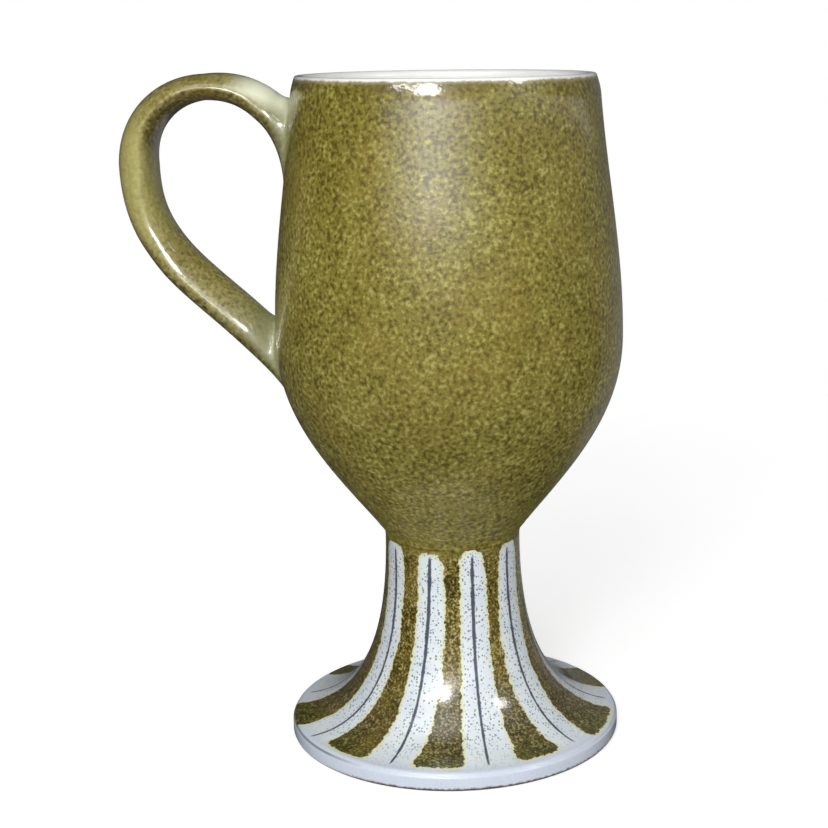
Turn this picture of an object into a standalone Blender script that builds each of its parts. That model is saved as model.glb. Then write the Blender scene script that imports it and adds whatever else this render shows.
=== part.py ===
"""Pedestal mug: a thrown bowl on a hollow flared pedestal, with a pulled strap handle.

Metres, +Z up. The origin is in the plane that the mug stands on, in the middle of its overall box, and the
handle points along -X. Slip joins the three clay pieces: a ring at the neck and a pad under each root of the handle.
"""

import math

import bmesh
import bpy
from mathutils import Vector

# Overall form: heights above the table, radii from the mug's axis
MUG_HEIGHT = 0.155
BELLY_HEIGHT = 0.0957
NECK_HEIGHT = 0.0496
LIP_RADIUS = 0.0345
BELLY_RADIUS = 0.040
NECK_RADIUS = 0.0159
FOOT_RADIUS = 0.0393

# Clay thicknesses
LIP_WALL = 0.0030
BELLY_WALL = 0.0036
BOWL_FLOOR = 0.0070
STEM_WALL = 0.0052

# Bowl outline: its rise from the neck, and its lean in at the lip
NECK_RISE = math.radians(52)
LIP_LEAN = math.radians(4)
BOWL_PULL = 0.36
WELL_PULL = 0.40
BUTTON_DROP = 0.0015
BUTTON_CLEARANCE = 0.0006

# Pedestal outline: the flare, the rounded foot edge, the standing ring and the hollow
FLARE_SLOPE = math.radians(8)
STEM_PULL = 0.57
FLARE_PULL = 0.30
FOOT_EDGE = 0.0044
FOOT_TOP_ROUND = 0.0015
FOOT_BOTTOM_ROUND = 0.0009
STANDING_WIDTH = 0.0050
HOLLOW_SLOPE = math.radians(30)

# Handle: drops from the lip, reaches out from the bowl, headings along the strap
UPPER_ROOT_DROP = 0.0121
UPPER_ROOT_RISE = math.radians(50.5)
CROWN_RISE = 0.0005
CROWN_REACH = 0.0204
CROWN_DIP = math.radians(4)
KNUCKLE_DROP = 0.0197
KNUCKLE_REACH = 0.0355
ROOT_SPAN = 0.0515
LOWER_ROOT_FALL = math.radians(49.6)
HANDLE_PULL = 0.40
LEAD_IN = 0.0120

# Oval strap section, and its flare where each root is pressed on to the bowl
STRAP_WIDTH = 0.0140
UPPER_ARM_THICKNESS = 0.0086
CROWN_THICKNESS = 0.0060
KNUCKLE_THICKNESS = 0.0091
LOWER_ARM_THICKNESS = 0.0095
STRAP_SQUARENESS = 2.2
UPPER_ROOT_WIDTH = 0.0155
UPPER_ROOT_THICKNESS = 0.0105
LOWER_ROOT_WIDTH = 0.0155
LOWER_ROOT_THICKNESS = 0.0105
ROOT_FLARE = 0.0100
FLARE_POWER = 3

# Slip joints
SLIP = 0.0006
JOINT_GAP = 0.0003
SLIP_RECESS = 0.0004
SLIP_BEAD = 0.0004

# Facets
TURNS = 60
CURVE_STEPS = 9
ROUND_STEPS = 6
STRAP_STEPS = 14
STRAP_SIDES = 24

# Where neighbouring surfaces stand, one on the other
JOINT_DEPTH = JOINT_GAP + SLIP + JOINT_GAP
PEDESTAL_TOP = NECK_HEIGHT - JOINT_DEPTH
BORE_RADIUS = NECK_RADIUS - STEM_WALL

# The mug's axis, off the origin by half of the handle's reach, so that the overall box is centred
AXIS_X = KNUCKLE_REACH / 2

GLAZE = "olive speckled glaze", (0.184, 0.156, 0.036), 0.25
STRIPED_GLAZE = "striped stem glaze", (0.342, 0.328, 0.268), 0.25
BARE_SLIP = "fired slip", (0.13, 0.095, 0.052), 0.7


def clear_scene():
    """Removes what the scene holds, so that the mug stands alone."""
    for item in list(bpy.data.objects):
        bpy.data.objects.remove(item, do_unlink=True)


def clay_material(name, colour, roughness):
    """One fired surface with its colour and gloss."""
    material = bpy.data.materials.new(name)
    material.use_nodes = True
    shader = material.node_tree.nodes["Principled BSDF"]
    shader.inputs["Base Color"].default_value = (*colour, 1.0)
    shader.inputs["Roughness"].default_value = roughness
    shader.inputs["Metallic"].default_value = 0.0
    return material


def heading(angle):
    """Unit direction in a vertical plane: 0 points outwards, a quarter turn points up."""
    return Vector((math.cos(angle), math.sin(angle)))


def sweep_curve(start, leave, end, arrive, leave_pull, arrive_pull, steps):
    """Cubic curve between two points, with its headings there; the pulls are shares of the chord."""
    chord = (end - start).length
    near = start + leave_pull * chord * heading(leave)
    far = end - arrive_pull * chord * heading(arrive)
    points = []
    for step in range(steps + 1):
        t = step / steps
        s = 1 - t
        points.append(s**3 * start + 3 * s * s * t * near + 3 * s * t * t * far + t**3 * end)
    return points


def arc(centre, radius, first, last, steps=ROUND_STEPS):
    """Points of a rounded edge about a centre, from one heading to another."""
    return [centre + radius * heading(first + (last - first) * i / steps) for i in range(steps + 1)]


def joined(*runs):
    """One outline from several runs, without the points that two runs share."""
    outline = []
    for run in runs:
        for point in run:
            if not outline or (point - outline[-1]).length > JOINT_GAP / 10:
                outline.append(point)
    return outline


def new_object(name, mesh, material=None):
    """Links a mesh made about the mug's axis to the scene, in its place, with its material."""
    item = bpy.data.objects.new(name, mesh)
    item.location.x = AXIS_X
    bpy.context.scene.collection.objects.link(item)
    if material:
        mesh.materials.append(material)
    return item


def turned(name, outline, closed, material=None):
    """Turns an outline about the mug's axis. The outline runs down its outer side, top to bottom."""
    mesh = bpy.data.meshes.new(name)
    count = len(outline)
    edges = [(i, (i + 1) % count) for i in range(count if closed else count - 1)]
    mesh.from_pydata([(point.x, 0, point.y) for point in outline], edges, [])
    item = new_object(name, mesh, material)
    wheel = item.modifiers.new("wheel", "SCREW")
    wheel.axis = "Z"
    wheel.angle = math.tau
    wheel.steps = TURNS
    wheel.render_steps = TURNS
    wheel.use_merge_vertices = True
    wheel.merge_threshold = 0.00002
    wheel.use_smooth_shade = True
    return item


def as_guide(item):
    """Keeps an object as a cutter only."""
    item.hide_render = True
    item.display_type = "WIRE"
    return item


def boolean(item, operation, tool):
    """Cuts or keeps an object by another one."""
    cut = item.modifiers.new(operation.lower(), "BOOLEAN")
    cut.operation = operation
    cut.object = tool


def bowl_wall():
    """The bowl's outer side, from the lip's rounding down to the neck."""
    lip = Vector((LIP_RADIUS, MUG_HEIGHT - LIP_WALL / 2))
    belly = Vector((BELLY_RADIUS, BELLY_HEIGHT))
    neck = Vector((NECK_RADIUS, NECK_HEIGHT))
    down = -math.pi / 2
    upper = sweep_curve(lip, down + LIP_LEAN, belly, down, BOWL_PULL, BOWL_PULL, CURVE_STEPS)
    lower = sweep_curve(belly, down, neck, NECK_RISE - math.pi, BOWL_PULL, BOWL_PULL, CURVE_STEPS)
    return joined(upper, lower)


def wall_radius(height):
    """Radius of the bowl's outer side at a height."""
    wall = bowl_wall()
    for high, low in zip(wall, wall[1:]):
        if low.y <= height <= high.y:
            return low.x + (high.x - low.x) * (height - low.y) / (high.y - low.y)
    return LIP_RADIUS


def grown_wall(offset):
    """The bowl's outer side moved outwards by an offset, for what is fitted against it."""
    wall = bowl_wall()
    grown = []
    for before, point, after in zip([wall[0], *wall], wall, [*wall[1:], wall[-1]]):
        along = (after - before).normalized()
        grown.append(point + offset * Vector((-along.y, along.x)))
    return grown


def make_bowl(material):
    """Open bowl: rounded lip, rounded well, turned seat and button underneath."""
    well = Vector((0, NECK_HEIGHT + BOWL_FLOOR))
    belly = Vector((BELLY_RADIUS - BELLY_WALL, BELLY_HEIGHT))
    lip = Vector((LIP_RADIUS - LIP_WALL, MUG_HEIGHT - LIP_WALL / 2))
    up = math.pi / 2
    hollow = sweep_curve(well, 0, belly, up, WELL_PULL, WELL_PULL, CURVE_STEPS)
    throat = sweep_curve(belly, up, lip, up + LIP_LEAN, BOWL_PULL, BOWL_PULL, CURVE_STEPS)
    lip_round = arc(Vector((LIP_RADIUS - LIP_WALL / 2, lip.y)), LIP_WALL / 2, math.pi, 0)
    button = Vector((BORE_RADIUS - BUTTON_CLEARANCE, NECK_HEIGHT))
    underside = sweep_curve(button, -math.pi / 2, Vector((0, NECK_HEIGHT - BUTTON_DROP)), math.pi,
                            BOWL_PULL * BUTTON_DROP / button.x, BOWL_PULL, ROUND_STEPS)
    return turned("bowl", joined(hollow, throat, lip_round, bowl_wall(), underside), False, material)


def make_pedestal(material):
    """Hollow flared pedestal, open through its stem, standing on a flat ring."""
    neck = Vector((NECK_RADIUS, PEDESTAL_TOP))
    foot = Vector((FOOT_RADIUS - FOOT_TOP_ROUND, FOOT_EDGE))
    flare = sweep_curve(neck, -math.pi / 2, foot, -FLARE_SLOPE, STEM_PULL, FLARE_PULL, 2 * CURVE_STEPS)
    top_round = arc(foot - Vector((0, FOOT_TOP_ROUND)), FOOT_TOP_ROUND, math.pi / 2, 0)
    base_round_centre = Vector((FOOT_RADIUS - FOOT_BOTTOM_ROUND, FOOT_BOTTOM_ROUND))
    base_round = arc(base_round_centre, FOOT_BOTTOM_ROUND, 0, -math.pi / 2)
    ring_inside = Vector((base_round_centre.x - STANDING_WIDTH, 0))
    hollow = sweep_curve(ring_inside, math.pi - HOLLOW_SLOPE, Vector((BORE_RADIUS, PEDESTAL_TOP)), math.pi / 2,
                         FLARE_PULL, STEM_PULL, 2 * CURVE_STEPS)
    return turned("pedestal", joined(flare, top_round, base_round, hollow), True, material)


def make_stem_slip(material):
    """Ring of slip between the pedestal's top and the bowl's seat, a little inside the crease."""
    top = NECK_HEIGHT - JOINT_GAP
    bottom = top - SLIP
    outside = NECK_RADIUS - SLIP_RECESS
    inside = BORE_RADIUS + SLIP_RECESS
    corners = [(outside, top), (outside, bottom), (inside, bottom), (inside, top)]
    return turned("stem_slip", [Vector(corner) for corner in corners], True, material)


def strap_knots():
    """The strap's centre and heading at its upper root, crown, knuckle and lower root."""
    upper_height = MUG_HEIGHT - UPPER_ROOT_DROP
    lower_height = upper_height - ROOT_SPAN
    crown_height = MUG_HEIGHT + CROWN_RISE - CROWN_THICKNESS / 2
    knuckle_reach = BELLY_RADIUS + KNUCKLE_REACH - KNUCKLE_THICKNESS / 2
    return [
        (Vector((wall_radius(upper_height), upper_height)), UPPER_ROOT_RISE),
        (Vector((LIP_RADIUS + CROWN_REACH, crown_height)), -CROWN_DIP),
        (Vector((knuckle_reach, MUG_HEIGHT - KNUCKLE_DROP)), -math.pi / 2),
        (Vector((wall_radius(lower_height), lower_height)), math.pi + LOWER_ROOT_FALL),
    ]


def strap_station(centre, plain_thickness, upper_root, lower_root):
    """Centre, width and thickness at one place on the strap, flared close to a root."""
    upper = max(0, 1 - (centre - upper_root).length / ROOT_FLARE) ** FLARE_POWER
    lower = max(0, 1 - (centre - lower_root).length / ROOT_FLARE) ** FLARE_POWER
    width = STRAP_WIDTH
    width += upper * (UPPER_ROOT_WIDTH - STRAP_WIDTH)
    width += lower * (LOWER_ROOT_WIDTH - STRAP_WIDTH)
    thickness = plain_thickness
    thickness += upper * (UPPER_ROOT_THICKNESS - plain_thickness)
    thickness += lower * (LOWER_ROOT_THICKNESS - plain_thickness)
    return centre, width, thickness


def strap_stations(first, last):
    """The strap's stations from one knot to another, run on into the bowl's wall at a root."""
    knots = strap_knots()
    upper_root, lower_root = knots[0][0], knots[-1][0]
    thicknesses = [UPPER_ARM_THICKNESS, CROWN_THICKNESS, KNUCKLE_THICKNESS, LOWER_ARM_THICKNESS]
    stations = []
    for knot in range(first, last):
        run = sweep_curve(*knots[knot], *knots[knot + 1], HANDLE_PULL, HANDLE_PULL, STRAP_STEPS)
        for step in range(0 if knot == first else 1, STRAP_STEPS + 1):
            change = thicknesses[knot + 1] - thicknesses[knot]
            plain = thicknesses[knot] + change * step / STRAP_STEPS
            stations.append(strap_station(run[step], plain, upper_root, lower_root))
    if first == 0:
        inner_end = upper_root - LEAD_IN * heading(knots[0][1])
        stations.insert(0, (inner_end, *stations[0][1:]))
    if last == len(knots) - 1:
        inner_end = lower_root + LEAD_IN * heading(knots[-1][1])
        stations.append((inner_end, *stations[-1][1:]))
    return stations


def strap_ring(bm, station, along, growth):
    """One oval cross-section of the strap, square to its run; growth widens it all round."""
    centre, width, thickness = station
    out = Vector((-along.y, along.x))
    ring = []
    for side in range(STRAP_SIDES):
        turn = math.tau * (side + 0.5) / STRAP_SIDES
        across = math.copysign(abs(math.cos(turn)) ** (2 / STRAP_SQUARENESS), math.cos(turn))
        through = math.copysign(abs(math.sin(turn)) ** (2 / STRAP_SQUARENESS), math.sin(turn))
        place = centre + out * through * (thickness / 2 + growth)
        ring.append(bm.verts.new((-place.x, across * (width / 2 + growth), place.y)))
    return ring


def loft_strap(name, first, last, growth, material):
    """Lofts the strap's sections along its run and caps both ends."""
    stations = strap_stations(first, last)
    bm = bmesh.new()
    rings = []
    for index, station in enumerate(stations):
        before = stations[max(index - 1, 0)][0]
        after = stations[min(index + 1, len(stations) - 1)][0]
        rings.append(strap_ring(bm, station, (after - before).normalized(), growth))
    for ring, following in zip(rings, rings[1:]):
        for side in range(STRAP_SIDES):
            turn = (side + 1) % STRAP_SIDES
            bm.faces.new((ring[side], ring[turn], following[turn], following[side]))
    bm.faces.new(rings[0])
    bm.faces.new(rings[-1])
    bmesh.ops.recalc_face_normals(bm, faces=bm.faces)
    mesh = bpy.data.meshes.new(name)
    bm.to_mesh(mesh)
    bm.free()
    mesh.shade_smooth()
    return new_object(name, mesh, material)


def make_handle(material):
    """Pulled strap from the bowl's upper wall, over a crown just above the lip, down to its belly."""
    envelope = grown_wall(JOINT_DEPTH)
    axis = [Vector((0, envelope[-1].y)), Vector((0, MUG_HEIGHT))]
    cap = Vector((envelope[0].x, MUG_HEIGHT))
    outline = joined([axis[1], cap], envelope, [axis[0]])
    trim = as_guide(turned("bowl_envelope", outline, False))
    handle = loft_strap("handle", 0, 3, 0, material)
    boolean(handle, "DIFFERENCE", trim)


def make_root_slips(material):
    """A pad of slip under each root, a little wider than the strap and as curved as the bowl."""
    outer = grown_wall(JOINT_GAP + SLIP)
    inner = grown_wall(JOINT_GAP)
    layer = as_guide(turned("slip_layer", joined(outer, reversed(inner)), True))
    boolean(loft_strap("upper_root_slip", 0, 1, SLIP_BEAD, material), "INTERSECT", layer)
    boolean(loft_strap("lower_root_slip", 2, 3, SLIP_BEAD, material), "INTERSECT", layer)


def main():
    clear_scene()
    make_bowl(clay_material(*GLAZE))
    make_pedestal(clay_material(*STRIPED_GLAZE))
    make_stem_slip(clay_material(*BARE_SLIP))
    make_handle(clay_material(*GLAZE))
    make_root_slips(clay_material(*BARE_SLIP))


main()
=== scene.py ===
# %% [markdown]
# # A striped pedestal mug
#
# This lesson dresses a stoneware mug: a rounded bowl on a hollow flared pedestal, with a pulled strap handle.
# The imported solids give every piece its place. They could be shown as they are, but their facets are coarse and
# their colours plain, so each clay piece is turned or swept again here, finer, and gets a glaze of its own.

# %% Load the frame
import math
from functools import partial

import bmesh
import bpy
from mathutils import Matrix, Vector


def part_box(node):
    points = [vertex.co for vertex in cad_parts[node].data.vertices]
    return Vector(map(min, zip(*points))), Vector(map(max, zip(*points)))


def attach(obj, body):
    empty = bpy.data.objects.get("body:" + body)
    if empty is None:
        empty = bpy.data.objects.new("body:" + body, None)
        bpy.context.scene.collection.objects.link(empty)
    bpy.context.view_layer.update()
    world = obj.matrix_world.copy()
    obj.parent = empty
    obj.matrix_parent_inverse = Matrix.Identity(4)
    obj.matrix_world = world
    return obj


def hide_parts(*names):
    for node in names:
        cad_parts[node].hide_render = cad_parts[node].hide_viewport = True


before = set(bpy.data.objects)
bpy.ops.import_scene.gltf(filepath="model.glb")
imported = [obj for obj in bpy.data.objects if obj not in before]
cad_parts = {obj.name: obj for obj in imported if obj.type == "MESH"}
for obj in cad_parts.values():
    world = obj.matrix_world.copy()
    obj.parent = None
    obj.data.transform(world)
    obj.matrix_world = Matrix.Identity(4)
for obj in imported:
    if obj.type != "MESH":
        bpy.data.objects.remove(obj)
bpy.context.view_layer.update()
print("nodes:", sorted(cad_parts))

# %% [markdown]
# ## Sizes
#
# A potter measures a mug at its lip, belly, neck and foot. The outer sizes are read from the frame's boxes.
# Only what a box can't say, such as the neck, is written here, in metres.

# %% Sizes from the frame
bowl_low, bowl_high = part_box("bowl")
foot_low, foot_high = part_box("pedestal")
AXIS = Vector(((bowl_low[0] + bowl_high[0]) / 2, 0, 0))
UP = Vector((0, 0, 1))
LIP_Z = bowl_high[2]
BELLY_R = (bowl_high[0] - bowl_low[0]) / 2 - 1e-6
FOOT_R = (foot_high[0] - foot_low[0]) / 2
LIP_R, LIP_WALL = 0.0345, 0.0030
BELLY_Z, BELLY_WALL = 0.0957, 0.0036
NECK_R, NECK_Z = 0.0159, 0.0496
print(f"{LIP_Z * 1000:.1f} mm to the lip, belly {BELLY_R * 2000:.1f} mm, foot {FOOT_R * 2000:.1f} mm across")

# %% [markdown]
# ## Outlines
#
# Everything on a potter's wheel is an outline turned about an axis. Small helpers draw it: a cubic curve that
# leaves and arrives with a given slope, and a rounding about a centre. A Bezier curve object could do the same,
# but here each point is also needed as a number, for the glaze's edge.

# %% Curve helpers
def heading(degrees):
    """Unit direction in the outline's plane: 0 points away from the axis, 90 points up."""
    return Vector((math.cos(math.radians(degrees)), math.sin(math.radians(degrees))))


def bezier(start, near, far, end, steps):
    """Points of a cubic curve."""
    rows = []
    for step in range(steps + 1):
        t = step / steps
        s = 1 - t
        rows.append(s**3 * start + 3 * s * s * t * near + 3 * s * t * t * far + t**3 * end)
    return rows


def sweep(start, leave, end, arrive, leave_pull, arrive_pull, steps):
    """Curve between two points with a slope at each; the pulls are shares of the chord."""
    chord = (end - start).length
    near = start + leave_pull * chord * heading(leave)
    far = end - arrive_pull * chord * heading(arrive)
    return bezier(start, near, far, end, steps)


def rounding(centre, radius, first, last, steps=10):
    """Points of a rounded edge about a centre, between two headings in degrees."""
    return [centre + radius * heading(first + (last - first) * i / steps) for i in range(steps + 1)]


def chain(*runs):
    """One outline from several runs, without the points that two runs share."""
    outline = []
    for run in runs:
        outline += [p for i, p in enumerate(run) if not outline or i or (p - outline[-1]).length > 1e-6]
    return outline


def lengths(outline, zero):
    """Distance along the outline of each point, counted from the point number zero."""
    total = [0.0]
    for a, b in zip(outline, outline[1:]):
        total.append(total[-1] + (b - a).length)
    return [value - total[zero] for value in total]


# %% [markdown]
# ## Turning on the wheel
#
# The bowl and the pedestal are surfaces of revolution. A Screw modifier would turn the outline too, but the
# spin operator keeps what is stored on each vertex, so every turned point still knows how far it lies along the
# outline. The glazes read that number to end a coat where a dipped coat ends.

# %% The wheel
TURNS = 240


def finish_mesh(bm, name):
    """Turns a bmesh into an object of the scene, with its faces outwards and smooth."""
    bmesh.ops.remove_doubles(bm, verts=bm.verts, dist=2e-6)
    bmesh.ops.recalc_face_normals(bm, faces=bm.faces)
    mesh = bpy.data.meshes.new(name)
    bm.to_mesh(mesh)
    bm.free()
    mesh.shade_smooth()
    piece = bpy.data.objects.new(name, mesh)
    bpy.context.scene.collection.objects.link(piece)
    print(f"{name}: {len(mesh.polygons)} faces")
    return piece


def thrown(name, outline, runs, closed=False):
    """Turns an outline about the mug's axis; each vertex keeps its run along the outline."""
    bm = bmesh.new()
    run_layer = bm.verts.layers.float.new("run")
    row = []
    for point, run in zip(outline, runs):
        vert = bm.verts.new(AXIS + Vector((point.x, 0, point.y)))
        vert[run_layer] = run
        row.append(vert)
    edges = [bm.edges.new(pair) for pair in zip(row, row[1:])]
    if closed:
        edges.append(bm.edges.new((row[-1], row[0])))
    whole = {"cent": AXIS, "axis": UP, "angle": math.tau, "steps": TURNS, "use_merge": True}
    bmesh.ops.spin(bm, geom=row + edges, **whole)
    return finish_mesh(bm, name)


# %% [markdown]
# ## Bowl
#
# The bowl was thrown with a rounded lip about 3 mm thick, sponged to a faint bevel outside, and its wall swells
# to the belly before it closes to the neck. One outline runs from the middle of the inside, up, over the lip
# and down the outside to the seat. Inside, fingers leave shallow rings about 5 mm apart; the outside was
# smoothed, so it gets none.

# %% Bowl outline and piece
FLOOR = 0.0070
BORE_R = 0.0107
RING_PITCH, RING_DEPTH = 0.0052, 0.00010
RING_FADE, MIDDLE_FADE = 0.015, 0.012
LIP_SHOULDER, BEVEL_LENGTH = 0.0052, 0.0027
SEAT_INSET, SEAT_DEPTH, SEAT_DISH = 0.0006, 0.0012, 0.0015
bowl_wall = chain(
    sweep(Vector((LIP_R, LIP_Z - LIP_WALL / 2)), -86, Vector((BELLY_R, BELLY_Z)), -90, 0.36, 0.36, 60),
    sweep(Vector((BELLY_R, BELLY_Z)), -90, Vector((NECK_R, NECK_Z)), -128, 0.36, 0.36, 40),
)
belly_inside = Vector((BELLY_R - BELLY_WALL, BELLY_Z))
lip_inside = Vector((LIP_R - LIP_WALL, LIP_Z - LIP_WALL / 2))
bowl_inside = chain(
    sweep(Vector((0, NECK_Z + FLOOR)), 0, belly_inside, 90, 0.40, 0.40, 60),
    sweep(belly_inside, 90, lip_inside, 94, 0.36, 0.36, 60),
)
for point in bowl_inside[1:]:
    fade = min(1, (LIP_Z - point.y) / RING_FADE) * min(1, point.x / MIDDLE_FADE)
    point.x += RING_DEPTH * fade * math.sin(math.tau * point.y / RING_PITCH)
lip_crest = Vector((LIP_R - LIP_WALL / 2, LIP_Z))
below_lip = [point for point in bowl_wall if point.y < LIP_Z - LIP_SHOULDER]
bevel_top = lip_crest + Vector((0.00075, -0.00045))
bevel_foot = bevel_top + BEVEL_LENGTH * heading(-74)
lip = chain(
    rounding(lip_crest - Vector((0, LIP_WALL / 2)), LIP_WALL / 2, 180, 90, 10),
    sweep(lip_crest, 0, bevel_top, -71, 0.45, 0.45, 10),
    sweep(bevel_top, -71, bevel_foot, -77, 0.33, 0.33, 6),
    sweep(bevel_foot, -77, below_lip[0], -86, 0.33, 0.33, 6),
)
seat = [
    Vector((BORE_R - SEAT_INSET, NECK_Z)),
    Vector((BORE_R - 2 * SEAT_INSET, NECK_Z - SEAT_DEPTH)),
    Vector((0, NECK_Z - SEAT_DISH)),
]
bowl_outline = chain(bowl_inside, lip, below_lip, seat)
bowl_runs = lengths(bowl_outline, bowl_outline.index(lip_crest))
bowl = thrown("mug_bowl", bowl_outline, bowl_runs)
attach(bowl, "root")
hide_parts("bowl")
print(f"outside of the bowl: {bowl_runs[-4] * 1000:.0f} mm from the lip to the neck")

# %% [markdown]
# ## Pedestal
#
# The pedestal is a hollow trumpet, thrown upside down and joined to the bowl when both were firm. Its edge is a
# low band, and a fine groove runs round the band's upper rounding, where glaze pools. Its outline runs down the
# outside, under the standing ring and up through the hollow.

# %% Pedestal outline and piece
FOOT_EDGE, FOOT_TOP_ROUND, FOOT_BASE_ROUND = 0.0044, 0.0015, 0.0009
STANDING_WIDTH = 0.0050
JOINT = 0.0012
GROOVE_RUN, GROOVE_HALF, GROOVE_DEPTH = 0.0015, 0.00022, 0.00012
foot_top = Vector((FOOT_R - FOOT_TOP_ROUND, FOOT_EDGE))
flare = chain(
    [Vector((NECK_R, NECK_Z)), Vector((NECK_R, NECK_Z - JOINT / 2))],
    sweep(Vector((NECK_R, NECK_Z - JOINT)), -90, foot_top, -8, 0.57, 0.30, 100),
)
round_centre = foot_top - Vector((0, FOOT_TOP_ROUND))
foot_side = rounding(round_centre, FOOT_TOP_ROUND, 90, 0, 30)
for point, run in zip(foot_side, lengths(foot_side, 0)):
    dip = GROOVE_DEPTH * math.exp(-((run - GROOVE_RUN) / GROOVE_HALF) ** 2)
    point -= dip * (point - round_centre).normalized()
foot_base = rounding(Vector((FOOT_R - FOOT_BASE_ROUND, FOOT_BASE_ROUND)), FOOT_BASE_ROUND, 0, -90, 10)
ring_inside = Vector((FOOT_R - FOOT_BASE_ROUND - STANDING_WIDTH, 0))
hollow = sweep(ring_inside, 150, Vector((BORE_R, NECK_Z - JOINT)), 90, 0.30, 0.57, 60)
hollow.append(Vector((BORE_R, NECK_Z)))
foot_outline = chain(flare, foot_side, foot_base, hollow)
foot_runs = lengths(foot_outline, 0)
pedestal = thrown("mug_pedestal", foot_outline, foot_runs, closed=True)
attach(pedestal, "root")
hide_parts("pedestal")
RUN_FOOT_TOP = foot_runs[len(flare) - 1]
print(f"flare: {RUN_FOOT_TOP * 1000:.1f} mm from the neck to the foot's edge")

# %% [markdown]
# ## Neck joint
#
# Bowl and pedestal were scored and stuck with slip, and what squeezed out was wiped to a hollow curve. A bevel
# can't reach a corner between two objects, so the curve is a turned ring of its own: it leaves along the bowl's
# wall, arrives along the stem, and closes behind.

# %% Neck fillet
FILLET_UP, FILLET_DOWN, PROUD = 0.0026, 0.0010, 0.00003
fillet_top = min(bowl_wall, key=lambda point: abs((point - Vector((NECK_R, NECK_Z))).length - FILLET_UP))
fillet_top = fillet_top + Vector((PROUD, -PROUD))
fillet_foot = min(flare, key=lambda point: abs(NECK_Z - FILLET_DOWN - point.y)) + Vector((PROUD, 0))
fillet = sweep(fillet_top, -127, fillet_foot, -90, 0.40, 0.40, 12)
fillet_outline = chain(fillet, [Vector((NECK_R - 0.0005, NECK_Z - 0.0002))])
neck_fillet = thrown("neck_fillet", fillet_outline, lengths(fillet_outline, 0), closed=True)
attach(neck_fillet, "root")
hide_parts("stem_slip")

# %% [markdown]
# ## Handle path
#
# The handle was pulled from a lump of clay, wet, between thumb and finger, then bent to its loop. It leaves the
# wall steeply, turns over a crown just above the lip, hangs round a knuckle and comes back to the belly. A
# curve with a bevel could give the loop, but not the roots, so the path is kept as numbers for the steps that
# follow.

# %% Handle path
UPPER_DROP, UPPER_RISE = 0.0121, 50.5
CROWN_RISE, CROWN_REACH, CROWN_DIP = 0.0005, 0.0204, 4
KNUCKLE_DROP, KNUCKLE_REACH = 0.0197, 0.0355
ROOT_SPAN, LOWER_FALL = 0.0515, 49.6
UPPER_THICK, CROWN_THICK, KNUCKLE_THICK, LOWER_THICK = 0.0086, 0.0060, 0.0086, 0.0095
PATH_STEPS = 30


def wall_radius(height):
    """Radius of the bowl's outer side at a height."""
    for high, low in zip(bowl_wall, bowl_wall[1:]):
        if low.y <= height <= high.y:
            return low.x + (high.x - low.x) * (height - low.y) / (high.y - low.y)
    return LIP_R


upper_z = LIP_Z - UPPER_DROP
lower_z = upper_z - ROOT_SPAN
knots = [
    (Vector((wall_radius(upper_z), upper_z)), UPPER_RISE, UPPER_THICK),
    (Vector((LIP_R + CROWN_REACH, LIP_Z + CROWN_RISE - CROWN_THICK / 2)), -CROWN_DIP, CROWN_THICK),
    (Vector((BELLY_R + KNUCKLE_REACH - KNUCKLE_THICK / 2, LIP_Z - KNUCKLE_DROP)), -90, KNUCKLE_THICK),
    (Vector((wall_radius(lower_z), lower_z)), 180 + LOWER_FALL, LOWER_THICK),
]
strap_path = []
for (start, leave, thick), (end, arrive, next_thick) in zip(knots, knots[1:]):
    rows = sweep(start, leave, end, arrive, 0.40, 0.40, PATH_STEPS)
    for step, centre in enumerate(rows):
        if step or not strap_path:
            strap_path.append((centre, thick + (next_thick - thick) * step / PATH_STEPS))
print(f"strap: {sum((b[0] - a[0]).length for a, b in zip(strap_path, strap_path[1:])) * 1000:.0f} mm long")

# %% [markdown]
# ## Strap section
#
# Pulling leaves a strap like a lens, wider than thick, with a ridge along each side where thumb and finger met.
# The section is a circle of vertices whose sine is raised to a power: 1 leaves an oval, more makes the ridge
# sharper. The ridge wanders: it lies towards the inside at the knuckle and towards the outside on the lower
# arm, because the strap was twisted a little as it was bent. A short table gives both, by station of the path,
# counted in knots.

# %% Strap section
STRAP_WIDTH = 0.0140
RIDGE = [(0.0, 1.12, -0.28), (1.0, 1.12, -0.05), (1.5, 1.08, -0.18), (2.0, 1.02, -0.30),
         (2.3, 1.02, 0.15), (2.5, 1.08, 0.38), (3.0, 1.10, 0.30)]
INSIDE_SOLID = 0.00004


def ridge(index):
    """Sharpness of the ridge at a station, and its shift from the strap's middle, outwards positive."""
    knot = index / PATH_STEPS
    for (start, sharp, shift), (end, next_sharp, next_shift) in zip(RIDGE, RIDGE[1:]):
        if knot <= end:
            share = (knot - start) / (end - start)
            share *= share * (3 - 2 * share)
            return sharp + (next_sharp - sharp) * share, shift + (next_shift - shift) * share


def lens(index, turn):
    """Place on a station's unit section: across the strap, and through it, outwards positive."""
    sharp, shift = ridge(index)
    across, rise = math.cos(turn), math.sin(turn)
    return across, math.copysign(abs(rise) ** sharp, rise) + shift * across**2


def strap_point(index, turn):
    """A vertex of the plain strap, and the strap's heading there."""
    centre, thick = strap_path[index]
    along = (strap_path[min(index + 1, len(strap_path) - 1)][0] - strap_path[max(index - 1, 0)][0]).normalized()
    across, through = lens(index, turn)
    place = centre + Vector((-along.y, along.x)) * through * (thick / 2 - INSIDE_SOLID)
    return AXIS + Vector((-place.x, across * STRAP_WIDTH / 2, place.y)), Vector((-along.x, 0, along.y))


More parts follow.
